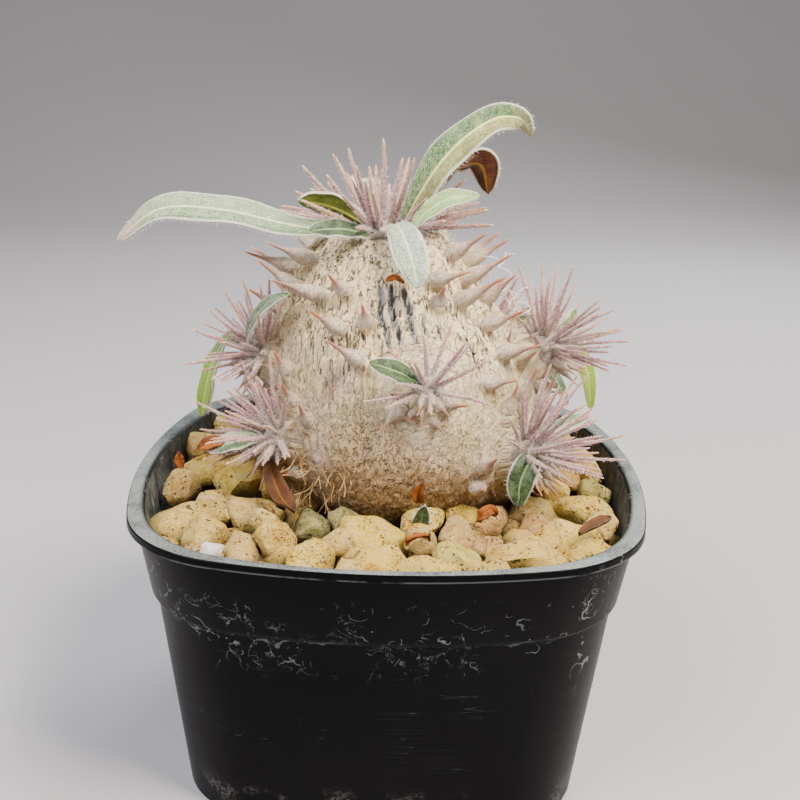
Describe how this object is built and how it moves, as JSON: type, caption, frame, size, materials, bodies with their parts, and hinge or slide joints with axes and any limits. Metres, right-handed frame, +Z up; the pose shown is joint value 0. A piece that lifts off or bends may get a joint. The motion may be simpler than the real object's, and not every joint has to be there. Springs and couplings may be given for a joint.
{
  "type": "potted caudex plant",
  "caption": "Thorny caudex succulent with spine heads and narrow leaves, standing in pumice in a square tapered nursery pot.",
  "frame": {"origin": "middle of the pot's base, on the surface that the pot stands on", "axes": "+Z up; -Y is the side seen in the picture, +X to its right"},
  "size_m": [0.0934, 0.092, 0.1183],
  "materials": {
    "pot_plastic": "black moulded plastic, satin, rubbed grey at the rim, with dried lime marks",
    "soil_mix": "dark gritty potting mix",
    "pumice_grit": "dull cream-yellow pumice with fine pores",
    "bark": "grey-beige bark, finely wrinkled and cracked",
    "spine": "pink-mauve woody spines with pale fuzz",
    "leaf": "grey-green, finely hairy, with a pale midrib",
    "leaf_under": "olive to rust leaf, smooth underside showing",
    "dry_leaf": "dry brown folded leaf"
  },
  "bodies": {
    "root": {"pot": "pot_plastic", "soil": "soil_mix", "pumice_top_dressing": "pumice_grit", "caudex": "bark", "spines_crown": "spine", "spines_left_upper": "spine", "spines_left_lower": "spine", "spines_front": "spine", "spines_right_upper": "spine", "spines_right_lower": "spine", "spines_back_left": "spine", "spines_back_right": "spine", "leaf_crown_left": "leaf", "leaf_crown_tall": "leaf", "leaf_crown_curled": "leaf_under", "leaf_crown_pale": "leaf", "leaf_crown_olive": "leaf_under", "leaf_crown_dark": "leaf", "leaf_crown_front": "leaf", "leaf_crown_back": "leaf", "leaf_left_strap": "leaf", "leaf_left_bent": "leaf", "leaf_left_lower": "leaf", "leaf_front_head": "leaf", "leaf_right_strap": "leaf", "leaf_right_hanging": "leaf", "leaf_right_small": "leaf", "leaf_right_bud": "leaf", "leaf_back_right_low": "leaf", "leaf_back_left_long": "leaf", "leaf_young_in_stones": "leaf", "dry_leaf_front": "dry_leaf", "dry_leaf_right": "dry_leaf"}
  },
  "joints": []
}
